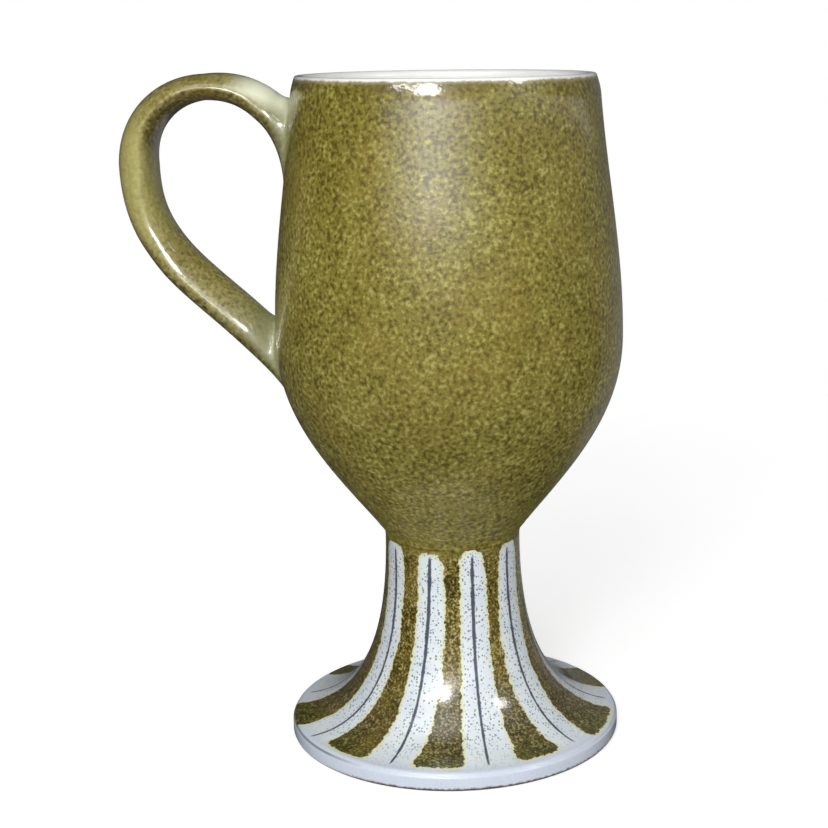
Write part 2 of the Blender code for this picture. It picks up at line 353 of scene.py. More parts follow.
# %% [markdown]
# ## Roots
#
# Each end was pressed on to the bowl, and its clay smoothed out into the wall. A boolean would only cut the
# strap off there. Instead each vertex of the section runs on along its own small curve, from the strap to its
# place in a footprint on the wall, and arrives flat on the wall. The footprints reach further below the root,
# where a thumb drew the clay down.

# %% Root curves
UPPER_CLEAR, LOWER_CLEAR = 0.0070, 0.0090
UPPER_FOOT = {"half_width": 0.0073, "above": 0.0078, "below": 0.0150}
LOWER_FOOT = {"half_width": 0.0073, "above": 0.0092, "below": 0.0112}
ROOT_STEPS, ROOT_SUNK = 16, 0.0005
LEAVE_PULL, ARRIVE_PULL, ARRIVE_MORE_ABOVE = 0.40, 0.29, 0.11


def wall_point(height, side, sunk=0.0):
    """A point of the bowl's outer wall, side metres round from the handle's middle."""
    radius = wall_radius(height)
    turn = side / radius
    radius -= sunk
    return AXIS + Vector((-radius * math.cos(turn), radius * math.sin(turn), height))


def root_curve(index, turn, foot, root_z, outer, towards):
    """From the strap to the wall: one vertex's curve, ending flat on the wall."""
    start, along = strap_point(index, turn)
    across, through = lens(index, turn)
    rise = through * outer
    height = root_z + rise * (foot["above"] if rise > 0 else foot["below"])
    side = across * foot["half_width"]
    end = wall_point(height, side)
    inner = wall_point(root_z + (height - root_z) * 0.8, side * 0.8)
    outward = (end - inner).normalized()
    chord = (end - start).length
    arrive = (ARRIVE_PULL + ARRIVE_MORE_ABOVE * rise) * chord
    rows = bezier(start, start + along * towards * chord * LEAVE_PULL, end - outward * arrive, end, ROOT_STEPS)
    return rows[1:] + [wall_point(height, side * 1.02, ROOT_SUNK)]


def first_clear(root, distance, order):
    """The first station of the path that lies a distance away from a root."""
    return next(i for i in order if (strap_path[i][0] - root).length > distance)


first = first_clear(knots[0][0], UPPER_CLEAR, range(len(strap_path)))
last = first_clear(knots[-1][0], LOWER_CLEAR, reversed(range(len(strap_path))))
print(f"the strap is free from station {first} to {last} of {len(strap_path)}")

# %% [markdown]
# ## Sweeping the handle
#
# Every turn about the section now has a column of places, from wall to wall. A circle of edges is extruded row
# by row, and each new vertex takes the next place of its column. It also keeps three numbers for the glaze: how
# far along the strap it lies, how much it faces upwards, where a painted highlight goes, and how much it faces
# down and in, where the glaze ran thin and painted shade darkens it.

# %% Handle piece
STRAP_SIDES = 72
turns = [math.tau * (side + 0.5) / STRAP_SIDES for side in range(STRAP_SIDES)]
columns = []
for turn in turns:
    upper = root_curve(first, turn, UPPER_FOOT, upper_z, 1, -1)
    body = [strap_point(index, turn)[0] for index in range(first, last + 1)]
    lower = root_curve(last, turn, LOWER_FOOT, lower_z, -1, 1)
    columns.append(upper[::-1] + body + lower)
row_count = len(columns[0])

bm = bmesh.new()
side_layer = bm.verts.layers.int.new("side")
along_layer = bm.verts.layers.float.new("along")
ring = bmesh.ops.create_circle(bm, segments=STRAP_SIDES, radius=0.01)["verts"]
for side, vert in enumerate(ring):
    vert[side_layer] = side
    vert.co = columns[side][0]
rim = bm.edges[:]
bmesh.ops.contextual_create(bm, geom=rim)
for row in range(1, row_count):
    made = bmesh.ops.extrude_edge_only(bm, edges=rim)["geom"]
    rim = [item for item in made if isinstance(item, bmesh.types.BMEdge)]
    for vert in (item for item in made if isinstance(item, bmesh.types.BMVert)):
        vert.co = columns[vert[side_layer]][row]
        vert[along_layer] = row / (row_count - 1)
bmesh.ops.contextual_create(bm, geom=rim)
handle = finish_mesh(bm, "mug_handle")
# upward feeds a painted highlight on the upper root, shaded feeds painted shade on faces that look down and in
for name, facing in (("upward", UP), ("shaded", Vector((0.15, 0, -0.99)))):
    values = [vert.normal.dot(facing) for vert in handle.data.vertices]
    handle.data.attributes.new(name, "FLOAT", "POINT").data.foreach_set("value", values)
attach(handle, "root")
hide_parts("handle", "upper_root_slip", "lower_root_slip")

# %% [markdown]
# ## Colours and nodes
#
# Glaze colours are read off as sRGB, as a paint chart gives them, while shaders work in linear light, so one
# function turns them. A second function adds a node with its settings and links, and gives back the socket that
# comes out of it, which keeps each finish readable. Each new finish gets it with its own tree filled in.

# %% Material helpers
def paint(code):
    """Linear colour from an sRGB hex code."""
    channels = [int(code[i:i + 2], 16) / 255 for i in (1, 3, 5)]
    return tuple(c / 12.92 if c <= 0.04045 else ((c + 0.055) / 1.055) ** 2.4 for c in channels) + (1.0,)


def plug(socket, value):
    """Links another node's output to an input, or sets the input to a plain value."""
    if isinstance(value, bpy.types.NodeSocket):
        socket.id_data.links.new(value, socket)
    else:
        socket.default_value = value


def add(tree, kind, inputs=(), out=0, stops=(), **settings):
    """Adds a node, such as "Mix" or "Math ADD", with settings, ramp stops and inputs; returns an output."""
    kind, _, operation = kind.partition(" ")
    node = tree.nodes.new("ShaderNode" + kind)
    if operation:
        node.operation = operation
    for name, value in settings.items():
        setattr(node, name, value)
    for index, (place, code) in enumerate(stops):
        ramp = node.color_ramp.elements
        element = ramp[index] if index < len(ramp) else ramp.new(place)
        element.position, element.color = place, paint(code)
    for socket, value in inputs.items() if isinstance(inputs, dict) else enumerate(inputs):
        plug(node.inputs[socket], value)
    return node.outputs[out]


def new_finish(piece, name):
    """Gives a piece a new material; returns add() for the material's own tree, and its shader."""
    material = bpy.data.materials.new(name)
    material.use_nodes = True
    piece.data.materials.append(material)
    return partial(add, material.node_tree), material.node_tree.nodes["Principled BSDF"]


COLOURS = {"data_type": "RGBA", "out": 2}  # for a Mix node that blends colours
EASED = {"interpolation_type": "SMOOTHSTEP"}  # for a Map Range node with soft ends
print("olive in linear light:", [round(c, 3) for c in paint("#938938")[:3]])

# %% [markdown]
# ## Olive glaze
#
# An ash glaze over iron-bearing stoneware: olive where it is of normal thickness, brown-black where iron breaks
# through as specks about half a millimetre wide, pale yellow-green where ash melted as flecks. A noise of 1 mm
# makes both, because the ramp that colours it is flat in the middle and steep at its ends. A Voronoi texture on
# a stirred place adds a few rounder specks, and its cells, each with a chance of its own, make the glaze
# grainy. Broad noises gather the specks in clouds and warm the olive in places, where more iron came through.

# %% Olive glaze colour
MOTTLE, CLOUD, SPECK, STIR, WARMTH = 0.00090, 0.010, 0.0013, 0.0009, 0.014


def olive_colour(node, place, tones, specks, grains, lean=0.0):
    """Colour of the glaze, and its mottle; specks is (hex code, strength), lean shifts to dark or pale."""
    stir = node("TexNoise", {"Vector": place, "Scale": 1 / STIR, "Detail": 1.0}, out="Color")
    stir = node("VectorMath SUBTRACT", [stir, (0.5, 0.5, 0.5)])
    moved = node("VectorMath MULTIPLY_ADD", [stir, (STIR, STIR, STIR), place])
    mottle = node("TexNoise", {"Vector": place, "Scale": 1 / MOTTLE, "Detail": 1.0})
    cloud = node("TexNoise", {"Vector": place, "Scale": 1 / CLOUD})
    cloud = node("Math MULTIPLY_ADD", [cloud, 0.26, -0.13])
    drift = node("Math ADD", [cloud, lean])
    tone = node("Math ADD", [mottle, drift])
    near = node("TexVoronoi", {"Vector": moved, "Scale": 1 / SPECK}, out="Distance")
    chance = node("SeparateColor", [near.node.outputs["Color"]])
    grain = node("Math MULTIPLY_ADD", [chance.node.outputs[1], grains, -grains / 2])
    tone = node("Math ADD", [tone, grain])
    colour = node("ValToRGB", {"Fac": tone}, stops=tones)
    iron = node("TexNoise", {"Vector": place, "Scale": 1 / WARMTH})
    warm = node("MapRange", [iron, 0.48, 0.72, 0.0, 0.35])
    colour = node("Mix", {0: warm, 6: colour, 7: paint("#8c7431")}, **COLOURS)
    reach = node("Math MULTIPLY_ADD", [chance, 0.45, -0.10])
    inside = node("Math SUBTRACT", [reach, near])
    spot = node("MapRange", [inside, -0.08, 0.10, 0.0, specks[1]])
    colour = node("Mix", {0: spot, 6: colour, 7: paint(specks[0])}, **COLOURS)
    return colour, tone


# %% [markdown]
# ## Glazed surface
#
# Melted ash glaze is glass over a slightly crystalline layer, so it shows two reflections: a soft one from
# within, and a sharper one from the skin on top. The Principled shader gives both, as its own lobe and its
# coat. A shallow bump makes the skin uneven, as a glaze that crawled a little, so that glints get ragged edges.

# %% Glazed surface
def glaze_surface(node, shader, colour, height, roughness, skin, depth, coat):
    """Puts a glassy skin over a colour; skin and coat are the skin's roughness and its share."""
    bump = node("Bump", {"Strength": 0.25, "Distance": depth, "Height": height})
    layer = {"Base Color": colour, "Roughness": roughness, "IOR": 1.5, "Normal": bump}
    glass = {"Coat Weight": coat, "Coat Roughness": skin, "Coat IOR": 1.5, "Coat Normal": bump}
    for name, value in (layer | glass).items():
        plug(shader.inputs[name], value)
    print("glaze nodes:", len(shader.id_data.nodes))


# %% [markdown]
# ## Bowl glaze
#
# The inside was filled with white glaze and poured out, then the outside was dipped in the olive one up to the
# lip. The two meet in a ragged line just outside the lip, with a cream edge where they mix. The run along the
# outline says where that line is: negative inside, positive outside. On the lip's shoulder the olive ran thin
# and broke to brown in places. It is glassiest there; low on the bowl it drained, so its skin is dull and
# mirrors no stripes.

# %% Bowl finish
OLIVE = [(0.30, "#584d16"), (0.38, "#6c6222"), (0.44, "#7f752e"), (0.56, "#887e36"), (0.62, "#978e45"),
         (0.71, "#aba45d")]
BOWL_OLIVE = (OLIVE, ("#463b0c", 0.45), 0.05)
BOWL_SURFACE = (0.36, 0.10, 0.00012)
LIP_LINE, LIP_RAGGED, LIP_BLUR = 0.0011, 0.0006, 0.0002
BREAKS, RAGS, LINER_TINT = 0.022, 0.0026, 0.006
node, shader = new_finish(bowl, "olive ash glaze with white liner")
place = node("TexCoord", out="Object")
run = node("Attribute", out="Fac", attribute_name="run")
browner = node("MapRange", [run, 0.004, 0.030, -0.05, 0.0])
olive, grain = olive_colour(node, place, *BOWL_OLIVE, browner)
broke = node("TexNoise", {"Vector": place, "Scale": 1 / BREAKS})
broke = node("MapRange", [broke, 0.42, 0.62, 0.0, 0.55])
thin = node("MapRange", [run, 0.0016, 0.0042, 1.0, 0.0], **EASED)
thin = node("Math MULTIPLY", [thin, broke])
olive = node("Mix", {0: thin, 6: olive, 7: paint("#54482a")}, **COLOURS)
ragged = node("TexNoise", {"Vector": place, "Scale": 1 / RAGS, "Detail": 4.0, "Roughness": 0.7})
edge = node("Math MULTIPLY_ADD", [ragged, -2 * LIP_RAGGED, run])
line = LIP_LINE - LIP_RAGGED
outside = node("MapRange", [edge, line - LIP_BLUR, line + LIP_BLUR])
cream = node("MapRange", [edge, line, line + 0.0009, 0.6, 0.0])
softened = node("Mix", {0: cream, 6: olive, 7: paint("#c3bc95")}, **COLOURS)
tint = node("TexNoise", {"Vector": place, "Scale": 1 / LINER_TINT})
white = node("ValToRGB", {"Fac": tint}, stops=[(0.3, "#f8f8f5"), (0.7, "#fbfbf9")])
both = node("Mix", {0: outside, 6: white, 7: softened}, **COLOURS)
drained = node("MapRange", [run, 0.070, 0.098, 0.6, 0.1])
glassy = node("MapRange", [run, 0.004, 0.012, 0.4, 0.0])
coat = node("Math ADD", [drained, glassy])
glaze_surface(node, shader, both, grain, *BOWL_SURFACE, coat)

# %% [markdown]
# ## Handle glaze
#
# The same olive glaze runs thinner on the strap, so it is smoother, with few specks. Where the strap faces down
# and in it is brown and speckled, as thin glaze and as painted shade; near the wall it is greyer, and round the
# knuckle's outer side it is paler. On top of the upper root, where it could not run off, it lies thick and pale,
# with a painted highlight where it faces up. The numbers kept on the sweep say where these are.

# %% Handle finish
HANDLE_OLIVE = [(0.30, "#675e2b"), (0.39, "#81783d"), (0.50, "#8f8649"), (0.60, "#9a9254"), (0.72, "#aaa369")]
# tones for faces that look down and in: thin glaze, darkened further as painted shade
SHADED_UNDER_OLIVE = [(0.30, "#382e0e"), (0.39, "#53481f"), (0.50, "#63582b"), (0.60, "#756a3c"), (0.72, "#988f60")]
PATCHES, KNUCKLE_AT = 0.004, 0.60
node, shader = new_finish(handle, "olive ash glaze, thin")
place = node("TexCoord", out="Object")
along, upward, shaded = (
    node("Attribute", out="Fac", attribute_name=name) for name in ("along", "upward", "shaded"))
olive, grain = olive_colour(node, place, HANDLE_OLIVE, ("#4a400f", 0.60), 0.06)
brown, _ = olive_colour(node, place, SHADED_UNDER_OLIVE, ("#2f260a", 0.75), 0.08)
knuckle = node("Math ABSOLUTE", [node("Math SUBTRACT", [along, KNUCKLE_AT])])
bloom = node("MapRange", [knuckle, 0.04, 0.16, 0.45, 0.0], **EASED)
body = node("Mix", {0: bloom, 6: olive, 7: paint("#cbc47e")}, **COLOURS)
middle = node("Math ABSOLUTE", [node("Math SUBTRACT", [along, 0.5])])
ends = node("MapRange", [middle, 0.30, 0.40, 0.0, 0.65])
body = node("Mix", {0: ends, 6: body, 7: paint("#8f9472")}, **COLOURS)
# painted highlight: the upper root's top is paler where it faces up, over glaze that lies thick there
start = node("MapRange", [along, 0.04, 0.11, 0.2, 1.0], **EASED)
finish = node("MapRange", [along, 0.19, 0.30, 1.0, 0.0], **EASED)
lit_topside = node("MapRange", [upward, 0.25, 0.60, 0.0, 0.95])
thick = node("Math MULTIPLY", [start, finish])
thick = node("Math MULTIPLY", [thick, lit_topside])
body = node("Mix", {0: thick, 6: body, 7: paint("#f4f6da")}, **COLOURS)
# painted shade: brown where the strap faces down and in, read from the shaded attribute
patchy = node("TexNoise", {"Vector": place, "Scale": 1 / PATCHES, "Detail": 3.0})
under = node("Math MULTIPLY_ADD", [patchy, 0.16, shaded])
under = node("MapRange", [under, 0.13, 0.45, 0.0, 0.92])
body = node("Mix", {0: under, 6: body, 7: brown}, **COLOURS)
dull = node("MapRange", [middle, 0.425, 0.455, 1.0, 0.05])
glaze_surface(node, shader, body, grain, 0.34, 0.06, 0.00004, dull)

# %% [markdown]
# ## Stripe layout
#
# White glaze was brushed down the pedestal in nine stripes, olive filled the panels between them, and a thin
# line of slate-blue stain was drawn down each stripe. Brush strokes are never parallel, so each edge is given
# by its angle about the axis at three heights. Angles count from the mug's front, with the handle on the left,
# in degrees.

# %% Stripe layout
STATIONS = (0.003, 0.028, 0.053)
COLUMNS = ("left", "right", "line", "drawn", "top", "end")
STRIPES = [dict(zip(COLUMNS, row)) for row in (
    ((-111, -113, -116), (-82, -84, -87), (-98, -97.5, -97), (0.003, 0.0540), 0.0014, 0.0566),
    ((-66, -63, -66.5), (-40.5, -40, -48), (-51, -49, -55.5), (0.0025, 0.0553), 0.0010, 0.0545),
    ((-25, -25.5, -28), (-2.5, -1.5, -10.5), (-13.6, -15.4, -17.7), (0.003, 0.0540), 0.0019, 0.0538),
    ((11.5, 10, 9), (33, 33, 29), (22, 20.6, 17.7), (0.0028, 0.0535), 0.0014, 0.0538),
    ((48, 43, 47.5), (72.5, 68.5, 63.5), (58, 55.8, 54.6), (0.0025, 0.0535), 0.0010, 0.0551),
    ((86, 87, 89.7), (110, 110, 109.3), (97, 97.5, 98), (0.003, 0.0540), 0.0013, 0.0566),
    ((128.5, 129, 130.5), (151.5, 151, 149.5), (140, 140.5, 141), (0.003, 0.0545), 0.0016, 0.0537),
    ((170.5, 171, 172), (193.5, 193.5, 191.5), (182, 181.5, 182.5), (0.003, 0.0535), 0.0012, 0.0543),
    ((211.5, 212, 213), (234.5, 234, 232.5), (223, 223.5, 222.5), (0.003, 0.0550), 0.0015, 0.0566),
)]
TOP_CORNER, END_CORNER = 0.0028, 0.0018


def at_run(angles, run):
    """The angle of a brushed edge at a run, on the parabola through its three stations."""
    s = (min(max(run, STATIONS[0]), RUN_FOOT_TOP) - STATIONS[1]) / (STATIONS[2] - STATIONS[1])
    low, mid, high = angles
    return mid + (high - low) / 2 * s + (high + low - 2 * mid) / 2 * s * s


def corner_distance(a, b, corner):
    """Distance outside a rounded corner, from the distances outside its two sides; negative inside."""
    a, b = a + corner, b + corner
    return min(max(a, b), 0) + math.hypot(max(a, 0), max(b, 0)) - corner


# %% [markdown]
# ## Stripes on the mesh
#
# A stripe could be a strip of mesh, but glaze has no thickness to see. Each vertex of the pedestal gets signed
# distances instead: how far inside an olive panel it lies, how far from the nearest drawn line, and how far
# inside the line's ends. Distances blend evenly across a face, so the material can cut crisp edges from them.

# %% Stripe distances
def stripe_distances(angle, run, radius):
    """Distances inside the olive panel, from the nearest line, and inside that line's ends."""
    outside, panel_end, from_line, inside_ends = 1.0, 0.0, 1.0, 0.0
    for index, stripe in enumerate(STRIPES):
        left, right = at_run(stripe["left"], run), at_run(stripe["right"], run)
        off = (angle - (left + right) / 2 + 180) % 360 - 180
        past_side = math.radians(abs(off) - (right - left) / 2) * radius
        past = corner_distance(past_side, stripe["top"] - run, TOP_CORNER)
        if past < outside:
            outside, panel_end = past, STRIPES[index if off > 0 else index - 1]["end"]
        off_line = math.radians((angle - at_run(stripe["line"], run) + 180) % 360 - 180) * radius
        if abs(off_line) < abs(from_line):
            from_line = off_line
            inside_ends = min(run - stripe["drawn"][0], stripe["drawn"][1] - run)
    return -corner_distance(-outside, run - panel_end, END_CORNER), from_line, inside_ends


mesh = pedestal.data
runs = [item.value for item in mesh.attributes["run"].data]
angles = [math.degrees(math.atan2(vert.co.x - AXIS.x, -vert.co.y)) for vert in mesh.vertices]
radii = [math.hypot(vert.co.x - AXIS.x, vert.co.y) for vert in mesh.vertices]
distances = [stripe_distances(*spot) for spot in zip(angles, runs, radii)]
for name, values in zip(("panel", "line", "line_ends"), zip(*distances)):
    mesh.attributes.new(name, "FLOAT", "POINT").data.foreach_set("value", values)
print(f"olive panels hold {sum(row[0] > 0 for row in distances)} of {len(distances)} vertices")

# %% [markdown]
# ## Olive panels
#
# In the panels the olive glaze was dabbed on, so it is grainy: golden brown with dark grains on the stem,
# duller towards the foot, where it ran thin. At the neck the bowl's own glaze ran down into them. The same
# glaze function makes all three, and the run blends them.

# %% Olive panel colour
FINER = 1.7
STEM_OLIVE = [(0.32, "#2b2406"), (0.42, "#52450e"), (0.50, "#736420"), (0.58, "#8d7f3b"), (0.68, "#b6ab75")]
FLARE_OLIVE = [(0.32, "#2d280b"), (0.41, "#473f1a"), (0.50, "#5d532b"), (0.59, "#746a40"), (0.69, "#a0986e")]
node, shader = new_finish(pedestal, "olive ash glaze with brushed white stripes")
place = node("TexCoord", out="Object")
run, panel, from_line, line_ends = (
    node("Attribute", out="Fac", attribute_name=name) for name in ("run", "panel", "line", "line_ends"))
fine = node("VectorMath MULTIPLY", [place, (FINER, FINER, FINER)])
stem, grain = olive_colour(node, fine, STEM_OLIVE, ("#2a2105", 0.8), 0.16)
flared, _ = olive_colour(node, fine, FLARE_OLIVE, ("#2f280f", 0.7), 0.16)
low = node("MapRange", [run, 0.026, 0.042])
olive = node("Mix", {0: low, 6: stem, 7: flared}, **COLOURS)
poured, _ = olive_colour(node, place, *BOWL_OLIVE)
high = node("MapRange", [run, 0.0010, 0.0042, 0.9, 0.0])
olive = node("Mix", {0: high, 6: olive, 7: poured}, **COLOURS)
greener = node("MapRange", [run, 0.0470, 0.0535, 0.0, 0.8])
olive = node("Mix", {0: greener, 6: olive, 7: paint("#eeffbe")}, **COLOURS, blend_type="MULTIPLY")

# %% [markdown]
# ## Brush edges
#
# Where olive met white the edge is serrated every millimetre or so, because the olive beaded on the white, and
# in places it bulges. Two noises are added to the panel's distance: one for the teeth, one for the bulges.

# %% Brush edges
TEETH, TOOTH_DEPTH = 0.00095, 0.00175
BULGE, BULGE_DEPTH = 0.0055, 0.0012
EDGE_BLUR = 0.00010
teeth = node("TexNoise", {"Vector": place, "Scale": 1 / TEETH, "Roughness": 0.6})
bulge = node("TexNoise", {"Vector": place, "Scale": 1 / BULGE, "Detail": 1.0})
uneven = node("Math MULTIPLY_ADD", [teeth, TOOTH_DEPTH, -TOOTH_DEPTH / 2])
swell = node("Math MULTIPLY_ADD", [bulge, BULGE_DEPTH, -BULGE_DEPTH / 2])
panel = node("Math ADD", [node("Math ADD", [panel, uneven]), swell])
in_panel = node("MapRange", [panel, -EDGE_BLUR, EDGE_BLUR])

# %% [markdown]
# ## White stripes
#
# The white is a tin glaze with a breath of blue. Small slate-grey dots were spattered on it, most of them near
# the stem, and along the panels a yellowish rim nearly a millimetre wide shows where the glazes mixed. Towards
# the foot's edge it turns a shade more lavender, because it lies thicker there.

# %% White stripes
DOT, RIM, STRIPE_TINT = 0.00062, 0.00095, 0.005
WHITE = [(0.3, "#e2ebf3"), (0.55, "#eaf2f7"), (0.75, "#f0f4f4")]
tint = node("TexNoise", {"Vector": place, "Scale": 1 / STRIPE_TINT})
white = node("ValToRGB", {"Fac": tint}, stops=WHITE)
thicker = node("MapRange", [run, 0.0530, 0.0555, 0.0, 0.8])
white = node("Mix", {0: thicker, 6: white, 7: paint("#dbe4f4")}, **COLOURS)
near = node("TexVoronoi", {"Vector": place, "Scale": 1 / DOT, "Randomness": 0.9}, out="Distance")
chance = node("SeparateColor", [near.node.outputs["Color"]])
reach = node("Math MULTIPLY_ADD", [chance, 0.40, 0.07])
inside = node("Math SUBTRACT", [reach, near])
fewer = node("MapRange", [run, 0.044, 0.056, 0.85, 0.08])
dots = node("MapRange", [inside, -0.05, 0.06])
dots = node("Math MULTIPLY", [dots, fewer])
white = node("Mix", {0: dots, 6: white, 7: paint("#77828a")}, **COLOURS)
rim = node("MapRange", [panel, -RIM, -0.0002, 0.0, 0.8])
white = node("Mix", {0: rim, 6: white, 7: paint("#e8e9ba")}, **COLOURS)

# %% [markdown]
# ## Drawn lines
#
# The slate-blue line was drawn with a fine brush of cobalt and iron stain. It is about 0.8 mm wide on the stem,
# three quarters of that on the flare, and thins out at its ends. A noise makes its width breathe.

# %% Drawn lines
STEM_HALF, FLARE_HALF, BREATH = 0.00041, 0.00031, 0.0026
breath = node("TexNoise", {"Vector": place, "Scale": 1 / BREATH, "Detail": 3.0, "Roughness": 0.6})
width = node("MapRange", [run, 0.022, 0.036, STEM_HALF, FLARE_HALF])
taper = node("MapRange", [line_ends, 0.0, 0.004, 0.65, 1.0])
width = node("Math MULTIPLY", [width, taper])
spread = node("MapRange", [breath, 0.25, 0.75, 0.6, 1.4])
half = node("Math MULTIPLY", [width, spread])
off = node("Math ABSOLUTE", [from_line])
stroke = node("Math SUBTRACT", [half, off])
stroke = node("MapRange", [stroke, -0.00012, 0.00010, 0.0, 0.92])
within = node("MapRange", [line_ends, -0.0004, 0.0005])
stroke = node("Math MULTIPLY", [stroke, within])
white = node("Mix", {0: stroke, 6: white, 7: paint("#2c344a")}, **COLOURS)
both = node("Mix", {0: in_panel, 6: white, 7: olive}, **COLOURS)

# %% [markdown]
# ## Foot's edge
#
# A slate-grey line lies in the groove on the handle's side of the foot, and on the other side the foot's lower
# edge turns dark brown-grey, unevenly. Both are cut from the run, with noises to
# break them.

# %% Foot's edge
SMEAR = 0.011
DARK_EDGE_RUN = RUN_FOOT_TOP + 0.0044
# a dark line in the groove on the handle's side, and a darker lower edge on the other side, from run and noise
broken = node("TexNoise", {"Vector": place, "Scale": 1 / SMEAR, "Detail": 3.0})
from_groove = node("Math ABSOLUTE", [node("Math SUBTRACT", [run, RUN_FOOT_TOP + GROOVE_RUN])])
stain = node("MapRange", [from_groove, 0.00014, 0.00042, 0.75, 0.0])
x = node("SeparateXYZ", [place])
handle_side = node("Math MULTIPLY_ADD", [broken, 0.016, x])
handle_side = node("MapRange", [handle_side, AXIS.x - 0.020, AXIS.x - 0.006, 1.0, 0.0])
stain = node("Math MULTIPLY", [stain, handle_side])
both = node("Mix", {0: stain, 6: both, 7: paint("#6a6f7c")}, **COLOURS)
dark_edge = node("Math MULTIPLY_ADD", [uneven, 0.6, run])
dark_edge = node("MapRange", [dark_edge, DARK_EDGE_RUN - 0.0002, DARK_EDGE_RUN + 0.0003])
far_side = node("Math MULTIPLY_ADD", [handle_side, -0.9, 1.0])
dark_edge = node("Math MULTIPLY", [dark_edge, far_side])
both = node("Mix", {0: dark_edge, 6: both, 7: paint("#62594a")}, **COLOURS)
glaze_surface(node, shader, both, grain, 0.30, 0.08, 0.00010, 0.9)

# %% [markdown]
# ## Bare clay
#
# Nothing may touch the kiln shelf with glaze on it, so the standing ring was wiped clean, and the hollow was
# never dipped. Fired stoneware is a sandy buff with iron freckles, quite matt. Those faces are picked by their
# run: everything that the outline reached after the foot's lower rounding.

# %% Bare clay faces
SAND = 0.0009
BUFF = [(0.30, "#8b7458"), (0.55, "#b39c7a"), (0.80, "#c8b592")]
node, shader = new_finish(pedestal, "bare buff stoneware")
place = node("TexCoord", out="Object")
sand = node("TexNoise", {"Vector": place, "Scale": 1 / SAND, "Detail": 4.0, "Roughness": 0.7})
tone = node("ValToRGB", {"Fac": sand}, stops=BUFF)
grit = node("Bump", {"Strength": 0.4, "Distance": 0.0002, "Height": sand})
for name, value in {"Base Color": tone, "Roughness": 0.85, "Normal": grit}.items():
    plug(shader.inputs[name], value)
RUN_BARE = foot_runs[len(flare) + len(foot_side) + len(foot_base) - 4]
bare_faces = 0
for face in pedestal.data.polygons:
    if min(runs[v] for v in face.vertices) >= RUN_BARE or face.normal.z < -0.9:
        face.material_index = 1
        bare_faces += 1
print("bare faces:", bare_faces)

# %% [markdown]
# ## Neck glaze
#
# The bowl's olive ran down over the fillet and stopped there, so the fillet takes the bowl's own tones. Its
# pattern reads the same places in space, so the specks run on from one piece to the other without a seam.

# %% Neck finish
node, shader = new_finish(neck_fillet, "olive ash glaze, pooled")
place = node("TexCoord", out="Object")
olive, grain = olive_colour(node, place, *BOWL_OLIVE)
glaze_surface(node, shader, olive, grain, *BOWL_SURFACE, 0.1)

# %% [markdown]
# ## Floor
#
# The mug stands on a plain pale floor that keeps its shadow. The paper is a light grey, and the camera sees it
# lifted to white, as a studio lights its backdrop apart from the object, so that the floor doesn't throw its
# light up on the mug.

# %% Floor
PAPER, LIFT = "#d8d8d8", 0.62
FLOOR_RADIUS, SHADOW_NEAR, SHADOW_FAR = 3.0, 0.14, 0.40


def in_view(node):
    """1 where the camera looks, straight, by a mirror or through glass, else 0."""
    ray = node("LightPath").node.outputs
    seen = node("Math ADD", [ray["Is Camera Ray"], ray["Is Glossy Ray"]])
    return node("Math ADD", [seen, ray["Is Transmission Ray"]], use_clamp=True)


bm = bmesh.new()
bmesh.ops.create_circle(bm, cap_ends=True, segments=96, radius=FLOOR_RADIUS, matrix=Matrix.Translation(AXIS))
floor = finish_mesh(bm, "floor")
node, shader = new_finish(floor, "white backdrop paper")
tree = shader.id_data
tree.nodes.remove(shader)
seen = in_view(node)
place = node("TexCoord", out="Object")
away = node("VectorMath DISTANCE", [place, AXIS], out="Value")
far = node("MapRange", [away, SHADOW_NEAR, SHADOW_FAR], **EASED)
far = node("Math MULTIPLY", [far, seen])
lift = node("Math MULTIPLY", [seen, LIFT])
matt = node("BsdfDiffuse", {"Color": paint(PAPER)})
glow = node("Emission", {"Strength": lift})
close = node("AddShader", [matt, glow])
white = node("Emission")
mixed = node("MixShader", [far, close, white])
tree.links.new(mixed, tree.nodes["Material Output"].inputs["Surface"])

# %% [markdown]
# ## Room
#
# The world fills the shadows softly and evenly, and is white where the camera or a mirror sees it.

# %% World
AMBIENT = 0.06
world = bpy.data.worlds.new("room")
bpy.context.scene.world = world
world.use_nodes = True
tree = world.node_tree
node = partial(add, tree)
seen = in_view(node)
level = node("MapRange", [seen, 0.0, 1.0, AMBIENT, 1.0])
tree.nodes["Background"].inputs["Color"].default_value = (1.0, 1.0, 1.0, 1.0)
tree.links.new(level, tree.nodes["Background"].inputs["Strength"])
print("room light:", AMBIENT)

# %% [markdown]
# ## Lamps
#
# A lamp beside the camera makes the glints on the lip and the flare, a narrow wing draws the lip's glint out to
# the left, and a lamp on the right makes a second set. A large one high in front fills the inside and the top
# of the foot. Two more, at the camera's side and behind, light the body without a mirror image, as light
# through a tent does. The last draws the bright line on the handle's ridge; light linking stands for the flags
# that keep it off the rest. Each is placed by its direction: azimuth from the camera's side, right positive,
# and elevation.

# %% Lamps
CAMERA_TURN = 6.0
AIM = AXIS + 0.09 * UP


def direction(azimuth, elevation):
    """Unit direction from the mug, in degrees."""
    turn, rise = math.radians(azimuth + CAMERA_TURN), math.radians(elevation)
    return Vector((math.sin(turn) * math.cos(rise), -math.cos(turn) * math.cos(rise), math.sin(rise)))


def facing_mug(away):
    """Turns a thing that stands in a direction from the mug to face it."""
    return away.to_track_quat("Z", "Y").to_matrix().to_4x4()


def soft_lamp(name, azimuth, elevation, width, height, power, mirrored=True):
    """An oval lamp a metre away, aimed at the mug."""
    lamp = bpy.data.lights.new(name, "AREA")
    lamp.shape, lamp.size, lamp.size_y, lamp.energy = "ELLIPSE", width, height, power
    item = bpy.data.objects.new(name, lamp)
    away = direction(azimuth, elevation)
    item.matrix_world = Matrix.Translation(AIM + away) @ facing_mug(away)
    item.visible_camera = False
    item.visible_glossy = mirrored
    bpy.context.scene.collection.objects.link(item)
    return item


